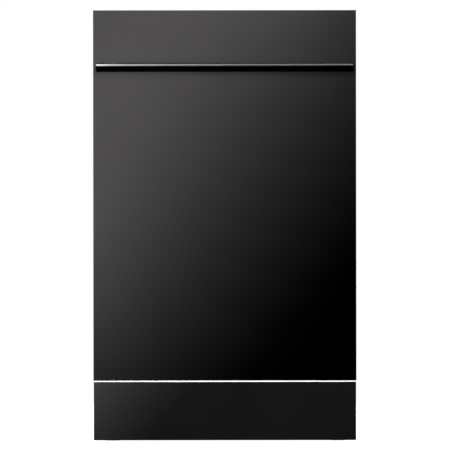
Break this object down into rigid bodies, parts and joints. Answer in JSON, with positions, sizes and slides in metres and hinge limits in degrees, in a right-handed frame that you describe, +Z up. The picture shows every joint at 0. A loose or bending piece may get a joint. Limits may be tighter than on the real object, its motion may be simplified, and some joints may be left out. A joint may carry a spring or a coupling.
{
  "type": "built-in dishwasher",
  "caption": "Built-in dishwasher with a plain black drop-down door, a full-width lip handle, a recessed toe kick and a steel tub with sliding racks.",
  "frame": {"origin": "middle of the footprint of the whole object, on the floor", "axes": "+Z up; the door faces -Y; +X is to the right of someone facing the door"},
  "size_m": [0.5466, 0.6, 0.896],
  "materials": {
    "black_front": "semi-gloss black",
    "satin_trim": "satin anodised",
    "stainless": "brushed stainless",
    "galvanised": "galvanised sheet",
    "steel": "zinc-plated",
    "black_plastic": "matt moulded",
    "grey_plastic": "satin moulded",
    "white_plastic": "satin moulded",
    "rack_wire": "plastic-coated wire",
    "rubber": "matt",
    "bitumen": "matt felt"
  },
  "bodies": {
    "carcass": {"base_tray": "black_plastic", "side_panel_left": "galvanised", "side_panel_right": "galvanised", "rear_panel": "galvanised", "top_plate": "galvanised", "tub_wrapper": "stainless", "tub_back": "stainless", "tub_floor": "stainless", "tub_front_frame": "stainless", "door_seal": "rubber", "sump": "black_plastic", "flat_filter": "stainless", "circulation_pump": "black_plastic", "water_softener": "white_plastic", "inlet_valve": "white_plastic", "drain_spigot": "black_plastic", "toe_kick_panel": "black_front", "toe_kick_seal": "white_plastic", "spray_feed_tube": "grey_plastic", "hinge_bracket_left": "steel", "hinge_bracket_right": "steel", "door_spring_left": "steel", "door_spring_right": "steel", "rail_channel_left": "stainless", "rail_channel_right": "stainless"},
    "door": {"door_front_panel": "black_front", "door_insulation": "bitumen", "door_inner_liner": "stainless", "handle_bar": "black_front", "handle_trim": "satin_trim", "control_strip": "black_plastic", "hinge_arm_left": "steel", "hinge_arm_right": "steel", "dispenser_body": "grey_plastic"},
    "power_button": {"power_button": "grey_plastic"},
    "program_button": {"program_button": "grey_plastic"},
    "start_button": {"start_button": "grey_plastic"},
    "detergent_lid": {"detergent_lid": "grey_plastic"},
    "rinse_aid_cap": {"rinse_aid_cap": "white_plastic"},
    "latch_hook": {"latch_hook": "steel"},
    "upper_rack": {"upper_rack": "rack_wire"},
    "rail_sliders": {"rail_slider_left": "stainless", "rail_slider_right": "stainless"},
    "cup_shelf": {"cup_shelf": "grey_plastic"},
    "middle_spray_arm": {"middle_spray_arm": "grey_plastic"},
    "cutlery_tray": {"cutlery_tray": "rack_wire"},
    "lower_rack": {"lower_rack": "rack_wire"},
    "tine_row": {"tine_row": "rack_wire"},
    "wheel_front_left": {"wheel_front_left": "grey_plastic"},
    "wheel_front_right": {"wheel_front_right": "grey_plastic"},
    "wheel_rear_left": {"wheel_rear_left": "grey_plastic"},
    "wheel_rear_right": {"wheel_rear_right": "grey_plastic"},
    "lower_spray_arm": {"lower_spray_arm": "grey_plastic"},
    "top_spray_arm": {"top_spray_arm": "grey_plastic"},
    "filter_cylinder": {"filter_cylinder": "grey_plastic"},
    "salt_cap": {"salt_cap": "white_plastic"},
    "foot_front_left": {"foot_front_left": "grey_plastic"},
    "foot_front_right": {"foot_front_right": "grey_plastic"},
    "foot_rear_left": {"foot_rear_left": "grey_plastic"},
    "foot_rear_right": {"foot_rear_right": "grey_plastic"}
  },
  "joints": [
    {"name": "door_hinge", "type": "hinge", "parent": "carcass", "child": "door", "pos_m": [0, -0.255, 0.146], "axis": [1, 0, 0], "range_deg": [0, 90], "stiffness_Nm_per_rad": 20, "deforming": ["door_spring_left", "door_spring_right"]},
    {"name": "upper_rack_slide", "type": "slide", "parent": "carcass", "child": "upper_rack", "axis": [0, -1, 0], "range_m": [0, 0.43]},
    {"name": "rail_slide", "type": "slide", "parent": "carcass", "child": "rail_sliders", "axis": [0, -1, 0], "range_m": [0, 0.215]},
    {"name": "cutlery_tray_slide", "type": "slide", "parent": "carcass", "child": "cutlery_tray", "axis": [0, -1, 0], "range_m": [0, 0.3]},
    {"name": "lower_rack_slide", "type": "slide", "parent": "carcass", "child": "lower_rack", "axis": [0, -1, 0], "range_m": [0, 0.162]},
    {"name": "power_button_press", "type": "slide", "parent": "door", "child": "power_button", "axis": [0, 0, -1], "range_m": [0, 0.0015], "stiffness_N_per_m": 800},
    {"name": "program_button_press", "type": "slide", "parent": "door", "child": "program_button", "axis": [0, 0, -1], "range_m": [0, 0.0015], "stiffness_N_per_m": 800},
    {"name": "start_button_press", "type": "slide", "parent": "door", "child": "start_button", "axis": [0, 0, -1], "range_m": [0, 0.0015], "stiffness_N_per_m": 800},
    {"name": "detergent_lid_slide", "type": "slide", "parent": "door", "child": "detergent_lid", "axis": [1, 0, 0], "range_m": [0, 0.08]},
    {"name": "rinse_aid_cap_turn", "type": "hinge", "parent": "door", "child": "rinse_aid_cap", "pos_m": [0.045, -0.22, 0.622], "axis": [0, -1, 0], "range_deg": [0, 90]},
    {"name": "latch_hook_lift", "type": "hinge", "parent": "door", "child": "latch_hook", "pos_m": [0, -0.245, 0.866], "axis": [1, 0, 0], "range_deg": [0, 10], "stiffness_Nm_per_rad": 1.5},
    {"name": "cup_shelf_fold", "type": "hinge", "parent": "upper_rack", "child": "cup_shelf", "pos_m": [-0.2195, 0, 0.634], "axis": [0, -1, 0], "range_deg": [0, 80]},
    {"name": "middle_spray_arm_spin", "type": "hinge", "parent": "upper_rack", "child": "middle_spray_arm", "pos_m": [0, 0.03, 0.482], "axis": [0, 0, 1], "continuous": true},
    {"name": "tine_row_fold", "type": "hinge", "parent": "lower_rack", "child": "tine_row", "pos_m": [-0.105, 0.06, 0.245], "axis": [-1, 0, 0], "range_deg": [0, 85]},
    {"name": "wheel_front_left_roll", "type": "hinge", "parent": "lower_rack", "child": "wheel_front_left", "pos_m": [-0.2265, -0.1, 0.1924], "axis": [1, 0, 0], "continuous": true},
    {"name": "wheel_front_right_roll", "type": "hinge", "parent": "lower_rack", "child": "wheel_front_right", "pos_m": [0.2265, -0.1, 0.1924], "axis": [1, 0, 0], "continuous": true},
    {"name": "wheel_rear_left_roll", "type": "hinge", "parent": "lower_rack", "child": "wheel_rear_left", "pos_m": [-0.2265, 0.1, 0.1924], "axis": [1, 0, 0], "continuous": true},
    {"name": "wheel_rear_right_roll", "type": "hinge", "parent": "lower_rack", "child": "wheel_rear_right", "pos_m": [0.2265, 0.1, 0.1924], "axis": [1, 0, 0], "continuous": true},
    {"name": "lower_spray_arm_spin", "type": "hinge", "parent": "carcass", "child": "lower_spray_arm", "pos_m": [0, 0.03, 0.206], "axis": [0, 0, 1], "continuous": true},
    {"name": "top_spray_arm_spin", "type": "hinge", "parent": "carcass", "child": "top_spray_arm", "pos_m": [0, 0.03, 0.827], "axis": [0, 0, 1], "continuous": true},
    {"name": "filter_cylinder_twist", "type": "hinge", "parent": "carcass", "child": "filter_cylinder", "pos_m": [0.07, -0.06, 0.18], "axis": [0, 0, 1], "range_deg": [0, 60]},
    {"name": "salt_cap_twist", "type": "hinge", "parent": "carcass", "child": "salt_cap", "pos_m": [-0.15, -0.06, 0.182], "axis": [0, 0, 1], "range_deg": [0, 120]},
    {"name": "foot_front_left_level", "type": "slide", "parent": "carcass", "child": "foot_front_left", "axis": [0, 0, -1], "range_m": [0, 0.04]},
    {"name": "foot_front_right_level", "type": "slide", "parent": "carcass", "child": "foot_front_right", "axis": [0, 0, -1], "range_m": [0, 0.04]},
    {"name": "foot_rear_left_level", "type": "slide", "parent": "carcass", "child": "foot_rear_left", "axis": [0, 0, -1], "range_m": [0, 0.04]},
    {"name": "foot_rear_right_level", "type": "slide", "parent": "carcass", "child": "foot_rear_right", "axis": [0, 0, -1], "range_m": [0, 0.04]}
  ],
  "couplings": [
    {"joint": "upper_rack_slide", "follows": "door_hinge", "m_per_rad": 0.2737},
    {"joint": "rail_slide", "follows": "door_hinge", "m_per_rad": 0.1368},
    {"joint": "cutlery_tray_slide", "follows": "door_hinge", "m_per_rad": 0.1909},
    {"joint": "lower_rack_slide", "follows": "door_hinge", "m_per_rad": 0.1031}
  ]
}
